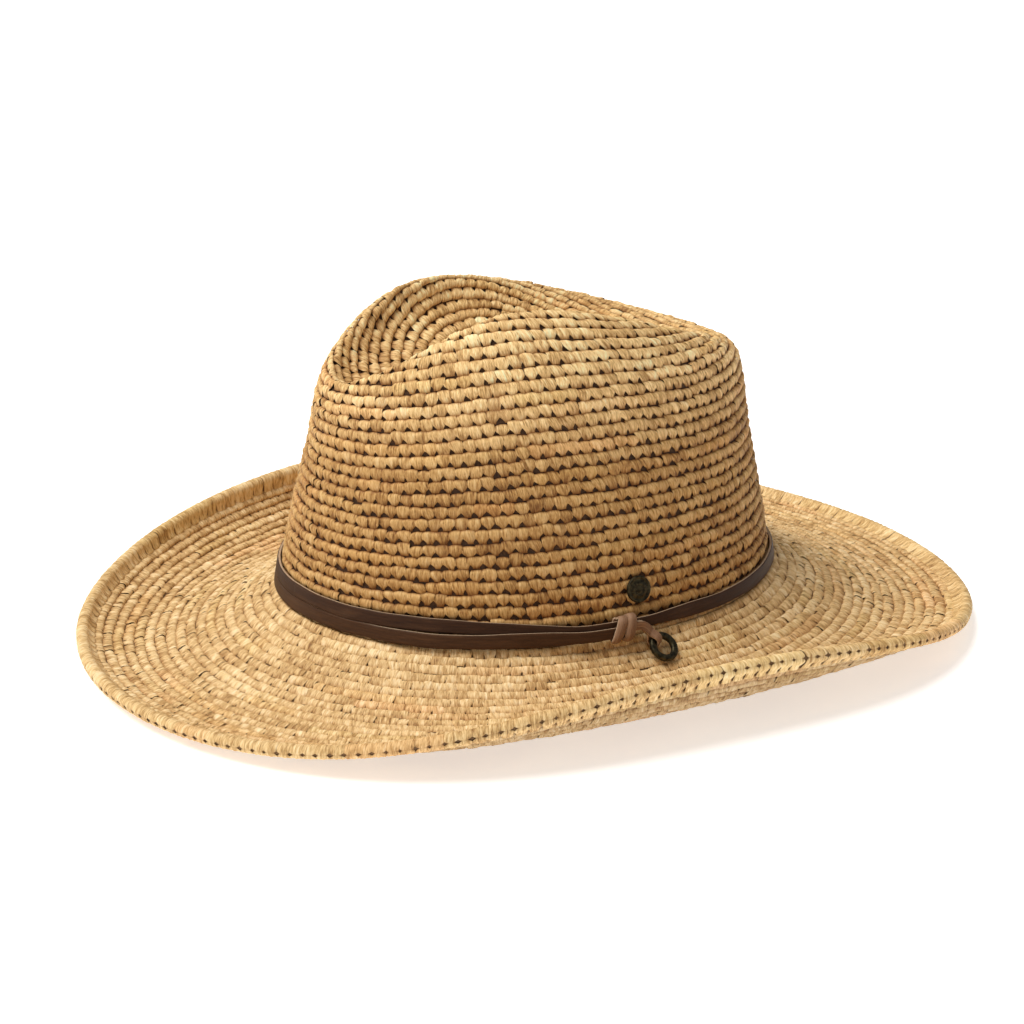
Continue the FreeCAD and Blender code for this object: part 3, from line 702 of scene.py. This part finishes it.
brim = brim_patch(2 * BINDING_RADIUS + 1.1)
pieces = []
for part, first, last, mean in (("near", 0, 6, 0.60), ("middle", 6, 11, 0.59),
                                ("far", 11, 15, 0.58), ("rim", 15, BRIM_ROWS, 0.58)):
    pieces.append(crochet("brim_top_" + part, brim, range(first, last), RAFFIA_BRIM, mean=mean,
                          **BRIM_STYLE))
pieces.append(crochet("brim_under", brim, range(BRIM_ROWS), RAFFIA_UNDER, side=-1, coarse=True,
                      mean=0.62, **BRIM_STYLE))
# a dark sheet between the brim's two faces, painted shade in the holes between stitches
pieces.append(ring_sheet("brim_gap_shade", brim_patch(short=3.6), columns=480, across=48, offset=0.0,
                         finish=SHADE_BRIM))
for piece in pieces:
    finish_piece(piece, "hat", "raffia", "brim_panel")


# ---- the folded edge ----
EDGE_HOLES, ROLL_START = math.radians(-62), math.radians(128)
ROLL_RADIUS, CORE_RADIUS = 2.72, 2.05


def edge_wraps():
    """The last round folded over the wire: wraps across the edge, each pinched at one place
    below it, which leaves a line of small holes."""
    leg = [(-5.4, 0.55), (-4.9, 1.25), (-4.2, 1.42), (-3.4, 1.50), (-2.5, 1.78)]
    roll = []
    for q in np.radians((*np.linspace(128, -30, 9), -44, -53, -62, -71, -80, -96, -112, -128)):
        radius = ROLL_RADIUS - 0.30 * math.exp(-((q - EDGE_HOLES) / 0.24) ** 2)
        roll.append((radius * math.cos(q), radius * math.sin(q)))
    path = np.array(leg + roll + [(x, -y) for x, y in leg[::-1]])
    q, radius = np.arctan2(path[:, 1], path[:, 0]), np.hypot(path[:, 0], path[:, 1])
    holes = np.exp(-((q - EDGE_HOLES) / 0.20) ** 2)
    along = walked(path)
    stations = (-5.4, -4.9, -4.2, -3.0, -2.2, -1.2, 3.0)
    above = np.interp(path[:, 0], stations, (0.46, 0.50, 0.49, 0.48, 0.50, 0.52, 0.53))
    below = np.interp(path[:, 0], stations, (0.40, 0.46, 0.42, 0.40, 0.46, 0.52, 0.53))
    half = np.where(path[:, 1] > 0, above, below)
    a = np.linspace(0, TAU, 1441)
    walk = walked(edge_frames(a)[0])
    count = int(round(walk[-1] / EDGE_PITCH))
    us = np.linspace(-1, 1, 13)
    each, shape = (count, 1, 1), (count, len(path), len(us))
    u = np.broadcast_to(us, shape)
    half = half - 0.25 * holes * rng.uniform(0.55, 1.3, (count, 1))
    width = half[:, :, None] * (1 + rng.normal(0, 0.03, each))
    slant = 0.10 * (along / along[-1] - 0.5)[None, :, None]
    place = np.arange(count)[:, None, None] + 0.5 + u * width + slant + rng.normal(0, 0.03, each)
    angle = np.interp((place % count / count * walk[-1]).ravel(), walk, a).reshape(shape)
    centre, up, out = edge_frames(angle)
    spread = rng.uniform(-0.6, 0.6, each)
    ridges = 0.030 * np.cos(u * 7.5 + spread * 4) + 0.022 * np.cos(u * 13 + spread * 9)
    bulge = 1 - 0.08 * np.abs(u) ** 4 + ridges + rng.normal(0, 0.012, each)
    bulge = bulge + np.clip(rng.normal(0, 0.012, shape), -0.03, 0.03)
    # the flatter the brim's edge is, the higher the holes stand on the roll
    slope = around(np.interp((np.arange(count) + 0.5) / count * walk[-1], walk, a), BRIM_EDGE)
    raised = np.interp(slope, (25, 75), (0.65, 0.0))[:, None]
    turned = q + raised * np.clip(1 - (q / ROLL_START) ** 2, 0, 1)
    rolled = radius < ROLL_RADIUS + 0.03
    x = np.where(rolled, radius * np.cos(turned), path[:, 0])[..., None]
    y = np.where(rolled, radius * np.sin(turned), path[:, 1])[..., None]
    on_leg = np.clip((-x - 2.0) / 1.5, 0, 1)
    sink = on_leg * 0.55 * np.abs(u) ** 2.5
    px = np.where(x > -2.4, x * bulge, x)
    py = np.where(x > -2.4, y * bulge, y - np.sign(y) * sink)
    p = centre + out * px[..., None] + up * py[..., None]
    faces = repeated(grid_faces(len(path), len(us)), count, len(path) * len(us))
    tone, hue = strand_tones(count, 0.6)
    # painted shade: darker at the wraps' sides, down their legs and round the holes
    rise = np.clip(1.0 - 0.42 * np.abs(u) ** 5 - 0.2 * on_leg - 0.35 * holes[None, :, None], 0, 1)
    cell = (u * width * EDGE_PITCH, along[None, :, None], rng.random(each) * CELL_SPREAD)
    data = stitch_data(cell, tone[:, None, None], hue[:, None, None], rise)
    return build("brim_edge_wraps", p, faces, data, (RAFFIA_EDGE,))


def edge_core():
    """A dark round core that shows through the holes, painted shade inside the folded edge."""
    columns, sides = 360, 14
    a, q = lattice(full_turn(columns), full_turn(sides))
    centre, up, out = edge_frames(a)
    p = centre + out * (CORE_RADIUS * np.cos(q))[..., None]
    p = p + up * (CORE_RADIUS * np.sin(q))[..., None]
    faces = grid_faces(columns, sides, True, True)[:, ::-1]
    return build("brim_edge_core", p, faces, None, (SHADE_BRIM,))


for piece in (edge_wraps(), edge_core()):
    finish_piece(piece, "hat", "raffia", "brim_edge_binding")


# ---- the leather lace ----
LACE_WIDTH, LACE_THICKNESS = 5.0, 1.5
LACE_LOW, LACE_HIGH, LACE_AT_KNOT = 2.9, 8.1, 4.4
KNOT_DEGREES, KNOT_HEIGHT, KNOT_LIFT, MOVING_GAP = 85.6, 4.3, 1.75, 0.35
KNOT_THICKNESS, KNOT_SWELL = 1.1, 0.75
# the lace's section, in half widths and half thicknesses, and its two cut faces
LACE_OUTLINE = np.array((
    (-1, -0.55), (-1, 0.55), (-0.93, 0.9), (-0.8, 1), (-0.4, 1.03), (0, 1), (0.4, 1.03), (0.8, 1),
    (0.93, 0.9), (1, 0.55), (1, -0.55), (0.93, -0.9), (0.8, -1), (0, -1), (-0.8, -1),
    (-0.93, -0.9)))
CUT_FACES = (0, 9)


def ease(value, low, high):
    share = np.clip((value - low) / (high - low), 0, 1)
    return share * share * (3 - 2 * share)


def from_knot(degrees):
    return (degrees - KNOT_DEGREES + 180) % 360 - 180


def upper_height(turn):
    before = LACE_HIGH + (LACE_AT_KNOT - LACE_HIGH) * ease(turn, -42, -8)
    after = LACE_AT_KNOT + (LACE_LOW - LACE_AT_KNOT) * ease(turn, 8, 34)
    after = after + (LACE_HIGH - LACE_LOW) * ease(turn, 110, 165)
    return np.where(turn < 0, before, after)


def sweep(name, centres, wide, thick, widths, thicknesses, closed, body, node, finish, swell=None):
    """A flat lace along a path, with a paler cut face along each edge. `swell` rounds its
    outer face."""
    x, y = LACE_OUTLINE[:, 0], LACE_OUTLINE[:, 1]
    count, size = len(centres), len(LACE_OUTLINE)
    w = wide[:, None] * (x[None, :, None] * widths[:, None, None] / 2)
    h = thick[:, None] * (y[None, :, None] * thicknesses[:, None, None] / 2)
    p = centres[:, None] + w + h
    if swell is not None:
        rounding = np.where(y > 0, 1 - x ** 2, 0)
        p = p + thick[:, None] * (swell[:, None, None] * rounding[None, :, None])
    lace = (walked(centres)[:, None], x * LACE_WIDTH / 2, y * LACE_THICKNESS / 2)
    lace = np.stack([np.broadcast_to(v, (count, size)) for v in lace], -1).reshape(-1, 3)
    faces = grid_faces(count, size, closed_rows=closed, closed_columns=True)
    cut = np.isin(np.arange(len(faces)) % size, CUT_FACES)
    o = build(name, p, faces, {"lace": lace}, (finish, CUT_EDGE), cut)
    if not closed:
        end_cap(o, range(size))
        end_cap(o, range((count - 1) * size, count * size))
    return finish_piece(fix_normals(o), body, "lace_leather", node)


def end_cap(o, ring):
    """Closes the end of a swept piece with one face, cut like its edges."""
    bm = bmesh.new()
    bm.from_mesh(o.data)
    bm.verts.ensure_lookup_table()
    bm.faces.new([bm.verts[i] for i in ring]).material_index = 1
    bm.to_mesh(o.data)
    bm.free()


def strap(name, degrees, heights, over, closed, node, finish, extra):
    """One turn of lace on the crown's wall. It stands off `over` another turn, and inside
    the knot it is narrower and lifted; elsewhere it is `extra` wider and wavers a little."""
    a = np.radians(degrees)
    turn = np.abs(from_knot(degrees))
    squeeze = 1 - ease(turn, 6, 18)
    width = LACE_WIDTH + extra - (1 + extra) * squeeze
    wave = 0.16 * np.sin(a * 5 + 1.3) + 0.10 * np.sin(a * 13 + 0.4) + 0.05 * np.sin(a * 31)
    heights = heights + wave * (1 - squeeze)
    standoff = MOVING_GAP + KNOT_LIFT * (1 - ease(turn, 7, 20)) + over + LACE_THICKNESS / 2
    low = wall_at(a, heights - width / 2, standoff)
    high = wall_at(a, heights + width / 2, standoff)
    wide = unit(high - low)
    thick = square_to(base_normals(a), wide)
    widths = width * (1 + 0.02 * np.sin(a * 17 + 2))
    thicknesses = LACE_THICKNESS * (1 - 0.03 * np.sin(a * 23))
    return sweep(name, (low + high) / 2, wide, thick, widths, thicknesses, closed, "band", node,
                 finish)


degrees = np.linspace(0, 360, 720, endpoint=False)
strap("band_upper", degrees, upper_height(from_knot(degrees)), 0.0, True, "band_upper_strap",
      LEATHER, extra=0.3)
degrees = np.linspace(-100, KNOT_DEGREES + 0.1, 400)
over = (LACE_THICKNESS + 0.25) * ease(from_knot(degrees), -64, -42)
strap("band_lower", degrees, LACE_LOW - 0.15, over, False, "band_lower_strap", LEATHER_RED,
      extra=0.5)


# ---- the knot, the tail and the ring ----
def knot_axes():
    a = np.radians(np.array(KNOT_DEGREES))
    t = crown_t_at(a, np.array(KNOT_HEIGHT))
    normal = crown_normals(a, t)
    along = unit(np.cross((0, 0, 1), normal))
    return crown_points(a, t), normal, along, np.cross(normal, along)


KNOT_ORIGIN, KNOT_OUT, KNOT_ALONG, KNOT_UP = knot_axes()


def knot_point(outward, along, up):
    return KNOT_ORIGIN + KNOT_OUT * outward + KNOT_ALONG * along + KNOT_UP * up


def smooth_loop(corners, count, closed=True):
    """Evenly spaced points on a smooth curve through corners (Catmull-Rom)."""
    c = np.array(corners, dtype=float)
    k = len(c)
    dense = []
    for i in range(k if closed else k - 1):
        if closed:
            p0, p1, p2, p3 = c[(i - 1) % k], c[i], c[(i + 1) % k], c[(i + 2) % k]
        else:
            p0, p1, p2, p3 = c[max(i - 1, 0)], c[i], c[i + 1], c[min(i + 2, k - 1)]
        for t in np.linspace(0, 1, 24, endpoint=False):
            square, cube = 2 * p0 - 5 * p1 + 4 * p2 - p3, 3 * p1 - p0 - 3 * p2 + p3
            dense.append(0.5 * (2 * p1 + (p2 - p0) * t + square * t * t + cube * t ** 3))
    dense.append(c[0] if closed else c[-1])
    dense = np.array(dense)
    walk = walked(dense)
    marks = np.linspace(0, walk[-1], count, endpoint=not closed)
    return np.stack([np.interp(marks, walk, dense[:, i]) for i in range(3)], -1)


def tangents(points, closed):
    if closed:
        return unit(np.roll(points, -1, axis=0) - np.roll(points, 1, axis=0))
    return unit(np.gradient(points, axis=0))


def wrap_piece(name, shift, slant, high, low, out, width):
    """One turn of lace round both straps, leaning to the back at its top."""
    loop = ((1.38, 1.6, 0.2), (2.3, high - 0.6, 0.5), (4.2, high + 0.1, 0.6),
            (out - 0.5, high - 0.9, 0.55), (out + 0.05, 0.6, 0.2), (out + 0.1, -2.2, -0.35),
            (out - 0.2, low + 1.3, -0.8), (4.6, low, -0.9), (2.7, low + 0.7, -0.6),
            (1.46, -3.6, -0.3))
    count = 72
    local = smooth_loop([(outward, shift + slant * lean, up) for outward, up, lean in loop], count)
    points = np.array([knot_point(*c) for c in local])
    forward = tangents(points, True)
    wide = square_to(KNOT_ALONG, forward)
    thick = np.cross(forward, wide)
    away = points - points.mean(axis=0)
    thick = thick * np.sign(np.sum(thick * away, -1, keepdims=True))
    q = full_turn(count)
    widths = width * (1 + 0.07 * np.sin(q * 2 + shift) + 0.03 * np.sin(q * 5))
    swell = KNOT_SWELL * ease(local[:, 0], 3.4, 5.4)
    return sweep(name, points, wide, thick, widths, np.full(count, KNOT_THICKNESS), True, "knot",
                 "band_knot", LEATHER_KNOT, swell)


wrap_piece("knot_wrap_front", shift=-2.0, slant=2.5, high=2.9, low=-5.6, out=6.0, width=3.9)
wrap_piece("knot_wrap_back", shift=2.05, slant=1.5, high=3.4, low=-5.5, out=6.5, width=3.7)

RING_RADIUS, RING_DEGREES, RING_DISTANCE, RING_LIFT = 4.8, 93.0, 8.9, 2.75
RING_TILT = math.radians(9)
EYE_BORE, TAIL_WIDTH, TAIL_THICKNESS, TAIL_HALF = 1.95, 3.2, 0.95, 0.54


def ring_axes():
    point, up, down = brim_frames(np.radians(np.array(RING_DEGREES)), np.array(RING_DISTANCE))
    centre = point + up * (THICKNESS / 2 + RING_LIFT)
    along = unit(np.cross(up, down))
    flat_way = unit(down * -0.8 - along * 0.6)
    way = flat_way * math.cos(RING_TILT) + up * math.sin(RING_TILT)
    normal = up * math.cos(RING_TILT) - flat_way * math.sin(RING_TILT)
    return centre, way, unit(np.cross(normal, way)), normal


RING_CENTRE, RING_WAY, RING_HINGE, RING_NORMAL = ring_axes()
EYE = RING_CENTRE + RING_WAY * (RING_RADIUS - 0.1)
ROOT = knot_point(5.4, 5.45, -0.8)


def tail():
    """The end of the lace: out of the knot, round the ring's bar and back beneath itself."""
    out_way = base_normals(np.radians(np.array(KNOT_DEGREES)))
    corner = ROOT + KNOT_ALONG * 3.6
    share = np.linspace(0, 1, 20)[:, None]
    line = ROOT * (1 - share) ** 2 + corner * 2 * share * (1 - share) + EYE * share ** 2
    forward = unit((corner - ROOT) * (1 - share) + (EYE - corner) * share)
    thick = square_to(unit(out_way * (1 - share) + RING_NORMAL * share), forward)
    keep = np.linalg.norm(line - EYE, axis=1) > 3.1
    line, thick = line[keep], thick[keep]
    radius = EYE_BORE + 0.42
    approach = unit(line[-1] - EYE)
    side = unit(np.cross(RING_HINGE, approach))
    side = side * np.sign(np.dot(side, thick[-1]))
    loop = [EYE + approach * (radius * math.cos(q)) + side * (radius * math.sin(q))
            for q in np.linspace(math.radians(42), math.radians(318), 22)]
    start = ROOT - KNOT_ALONG * 1.7 + KNOT_OUT * (TAIL_HALF + 0.1)
    end = ROOT - KNOT_ALONG * 1.5 - KNOT_OUT * (TAIL_HALF - 0.1)
    there, back = line + thick * TAIL_HALF, (line - thick * TAIL_HALF)[::-1]
    count = 120
    path = smooth_loop([start, *there, *loop, *back, end], count, closed=False)
    forward = tangents(path, False)
    hinge_way = RING_HINGE * np.sign(np.dot(np.cross(approach, RING_HINGE), side))
    from_root = np.linalg.norm(path - ROOT, axis=1) / np.linalg.norm(EYE - ROOT)
    from_root = np.clip(from_root, 0, 1)[:, None]
    root_wide = unit(np.cross(out_way, KNOT_ALONG))
    root_wide = root_wide * np.sign(np.dot(root_wide, hinge_way))
    wide = square_to(unit(root_wide * (1 - from_root) + hinge_way * from_root), forward)
    thick = np.cross(forward, wide)
    narrow = 0.10 * np.exp(-((np.linspace(0, 1, count) - 0.5) / 0.12) ** 2)
    return sweep("tail_fold", path, wide, thick, TAIL_WIDTH * (1.08 - narrow),
                 np.full(count, TAIL_THICKNESS), False, "tail", "band_tail", LEATHER_KNOT)


tail()


def turned_metal(name, centre, axis, profile, steps, body, node, closed, relief):
    """A turned piece of bronze: a profile of (radius, height) about an axis, and its relief."""
    one = unit(np.cross(axis, (0.3, 0.1, 1.0)))
    two = np.cross(axis, one)
    radius, height = np.array(profile).T
    a, radius = lattice(full_turn(steps), radius)
    height = height + relief(a, radius)
    p = centre + one * (radius * np.cos(a))[..., None] + two * (radius * np.sin(a))[..., None]
    faces = grid_faces(steps, len(profile), True, closed)
    o = build(name, p + axis * height[..., None], faces, None, (BRONZE,))
    return finish_piece(fix_normals(o), body, "bronze", node)


bar = []
for q in full_turn(24):
    c, s = math.cos(q), math.sin(q)
    bar.append((RING_RADIUS + math.copysign(abs(c) ** 0.7, c) * 1.38,
                math.copysign(abs(s) ** 0.8, s) * 1.12))
turned_metal("ring_flat_bar", RING_CENTRE, RING_NORMAL, bar, 96, "ring", "tail_ring", True,
             lambda a, r: 0.05 * np.sin(a * 7 + 1) * np.sin(r * 2) + 0.03 * np.sin(a * 17))

# ---- the badge ----
BADGE_ANGLE, BADGE_HEIGHT = np.radians(np.array(91.8)), np.array(16.0)
badge_t = crown_t_at(BADGE_ANGLE, BADGE_HEIGHT)
dome = ((0.001, 1.95), (0.7, 1.92), (1.3, 1.84), (1.55, 1.68), (1.72, 1.68), (1.95, 1.82),
        (2.65, 1.74), (3.2, 1.58), (3.62, 1.36), (3.9, 1.28), (4.15, 1.36), (4.42, 1.58),
        (4.68, 1.68), (5.0, 1.62), (5.2, 1.40), (5.3, 1.0), (5.2, 0.55), (4.95, 0.32), (3.5, 0.3),
        (0.001, 0.3))
turned_metal("badge_face", crown_points(BADGE_ANGLE, badge_t), crown_normals(BADGE_ANGLE, badge_t),
             dome, 72, "hat", "badge_cap", False,
             lambda a, r: 0.10 * np.sin(a * 16) * np.exp(-((r - 2.75) / 0.6) ** 2))

# ---- inside the crown ----
def cloth_band():
    """The sweatband: woven cotton, a little uneven, hemmed at the top."""
    columns = 480
    heights = np.concatenate((np.linspace(-1.6, 28.6, 22), (29.0, 29.5, 30.0)))
    a, h = lattice(full_turn(columns), heights)
    ripple = 0.16 * np.sin(a * 21 + h * 0.06) + 0.10 * np.sin(a * 37 - h * 0.1)
    outer = wall_at(a, h, -(THICKNESS + 1.55))
    inner = wall_at(a, h, -(THICKNESS + 2.35) + ripple)
    p = np.concatenate((outer, inner[:, ::-1]), axis=1)
    faces = grid_faces(columns, 2 * len(heights), True, True)
    o = fix_normals(build("sweatband_cloth", p, faces, None, (COTTON,)))
    return finish_piece(o, "hat", "cotton", "sweatband")


def cotton_material():
    """Twill: fine diagonal ribs with slubs."""
    m, tree, shader = material("cotton_twill")
    n = Nodes(tree)
    wave = tree.nodes.new("ShaderNodeTexWave")
    wave.bands_direction = "DIAGONAL"
    n.link(n.position(), wave.inputs["Vector"])
    wave.inputs["Scale"].default_value = 420
    wave.inputs["Distortion"].default_value = 1.2
    slub = n.noise(n.position((1, 1, 4)), 320, 3.0)
    value = n.weighted(wave.outputs["Fac"], 0.6, slub, 0.4)
    colour = n.ramp(value, (0.2, (0.50, 0.43, 0.31)), (0.8, (0.72, 0.65, 0.50)))
    n.link(colour, shader.inputs["Base Color"])
    shader.inputs["Roughness"].default_value = 0.9
    n.link(n.bump(value, 0.5, 0.0002), shader.inputs["Normal"])
    return m


COTTON = cotton_material()
band_cloth = cloth_band()


def running_stitches():
    """Short stitches of thread through the sweatband's lower edge."""
    count, sides = 170, 8
    along = np.linspace(-1, 1, 7)
    lift = 0.42 * np.sqrt(np.clip(1 - along ** 2, 0.02, 1))[:, None]
    q = full_turn(sides)
    points = []
    for i in range(count):
        a = TAU * i / count + along * (TAU / count * 0.31)
        base = wall_at(a, 2.0 + 0.15 * math.sin(i * 2.1), -(THICKNESS + 2.45))
        p = base[:, None] - base_normals(a)[:, None] * (lift * (0.5 + 0.5 * np.cos(q)))[..., None]
        points.append(p + np.array((0, 0, 0.30)) * np.sin(q)[:, None])
    faces = repeated(grid_faces(len(along), sides, False, True), count, len(along) * sides)
    o = fix_normals(build("sweatband_stitch_line", points, faces, None, (THREAD,)))
    return finish_piece(o, "hat", "thread", "sweatband_stitching")


running_stitches()

# the CAD's own shapes serve for what can't be seen, with better finishes
for node, finish in (("brim_wire", WIRE), ("brim_wire_sleeve", WIRE), ("badge_post", BRONZE),
                     ("badge_backplate", BRONZE), ("size_label", COTTON),
                     ("label_stitches", THREAD)):
    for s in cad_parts[node].material_slots:
        s.link = "OBJECT"
        s.material = finish

# ---- the picture: floor, light and camera ----
bpy.ops.mesh.primitive_plane_add(size=30, location=(0, 0, 0))
floor = bpy.context.object
floor.name = "floor"
paper, _, shader = material("paper")
shader.inputs["Base Color"].default_value = (0.93, 0.93, 0.93, 1)
shader.inputs["Roughness"].default_value = 0.9
shader.inputs["Emission Color"].default_value = (1, 1, 1, 1)
shader.inputs["Emission Strength"].default_value = 0.5
floor.data.materials.append(paper)


world = bpy.data.worlds.new("studio")
bpy.context.scene.world = world
world.use_nodes = True
background = world.node_tree.nodes["Background"]
background.inputs["Color"].default_value = (1.0, 1.0, 1.0, 1)
background.inputs["Strength"].default_value = 0.30
bpy.context.scene.view_settings.view_transform = "Standard"

# a broad soft key, the same all over the floor
key = bpy.data.lights.new("key", "SUN")
key.angle, key.energy, key.color = math.radians(38), 3.0, (1.0, 0.985, 0.955)
sun = bpy.data.objects.new("key", key)
bpy.context.collection.objects.link(sun)
sun.rotation_euler = Vector((-0.16, -0.42, 0.89)).to_track_quat("Z", "Y").to_euler()

AZIMUTH, ELEVATION, DISTANCE = math.radians(60), math.radians(20), 1.3
CENTRE = Vector((0, -0.0005, 0.03586))
lens = bpy.data.cameras.new("camera")
lens.lens, lens.sensor_width = 112.5, 36.0
lens.shift_x, lens.shift_y = -0.01453, 0.02414
camera = bpy.data.objects.new("camera", lens)
bpy.context.collection.objects.link(camera)
look = Vector((math.sin(AZIMUTH) * math.cos(ELEVATION), -math.cos(AZIMUTH) * math.cos(ELEVATION),
               math.sin(ELEVATION)))
camera.location = CENTRE + look * DISTANCE
camera.rotation_euler = (-look).to_track_quat("-Z", "Y").to_euler()
bpy.context.scene.camera = camera
